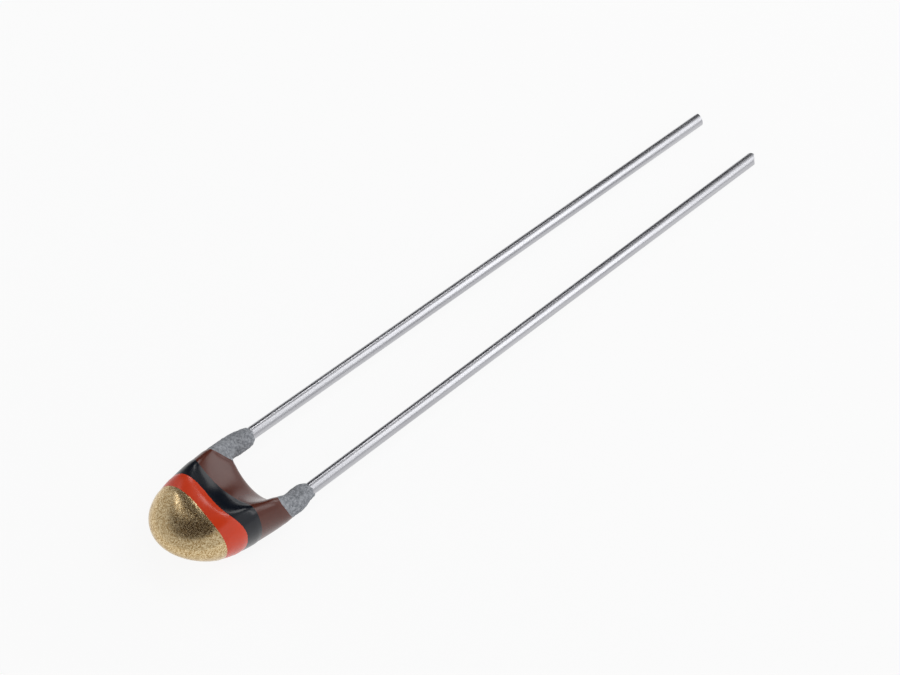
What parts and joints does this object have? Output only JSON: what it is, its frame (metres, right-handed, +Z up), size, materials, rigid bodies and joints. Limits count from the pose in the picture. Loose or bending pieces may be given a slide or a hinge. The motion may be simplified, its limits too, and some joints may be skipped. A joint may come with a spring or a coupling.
{
  "type": "ntc thermistor",
  "caption": "Dip-lacquered disc thermistor with coloured value bands and two parallel tinned wire leads, for through-hole mounting.",
  "frame": {"origin": "bottom centre of the bounding box, on the surface that the part lies on", "axes": "+X along the leads, from the body to the lead tips; +Y across the pitch, from the front lead to the back lead; +Z up, through the thickness of the disc as it lies"},
  "size_m": [0.0296, 0.0044, 0.0025],
  "materials": {
    "sensor_ceramic": "dark sintered oxide, matt",
    "silver_print": "fired silver print, matt",
    "solder": "dull tin solder",
    "tinned_wire": "bright tinned copper wire, drawn smooth",
    "grey_lacquer": "matt, fine grained grey base lacquer",
    "brown_lacquer": "glossy brown lacquer",
    "black_lacquer": "glossy blue-black lacquer",
    "orange_lacquer": "glossy red-orange lacquer",
    "gold_lacquer": "gold lacquer with fine metal flake"
  },
  "bodies": {
    "root": {"ceramic_disc": "sensor_ceramic", "front_electrode": "silver_print", "back_electrode": "silver_print", "front_solder_joint": "solder", "back_solder_joint": "solder", "front_lead": "tinned_wire", "back_lead": "tinned_wire", "base_lacquer": "grey_lacquer", "brown_coat": "brown_lacquer", "black_coat": "black_lacquer", "orange_coat": "orange_lacquer", "gold_coat": "gold_lacquer"}
  },
  "joints": []
}
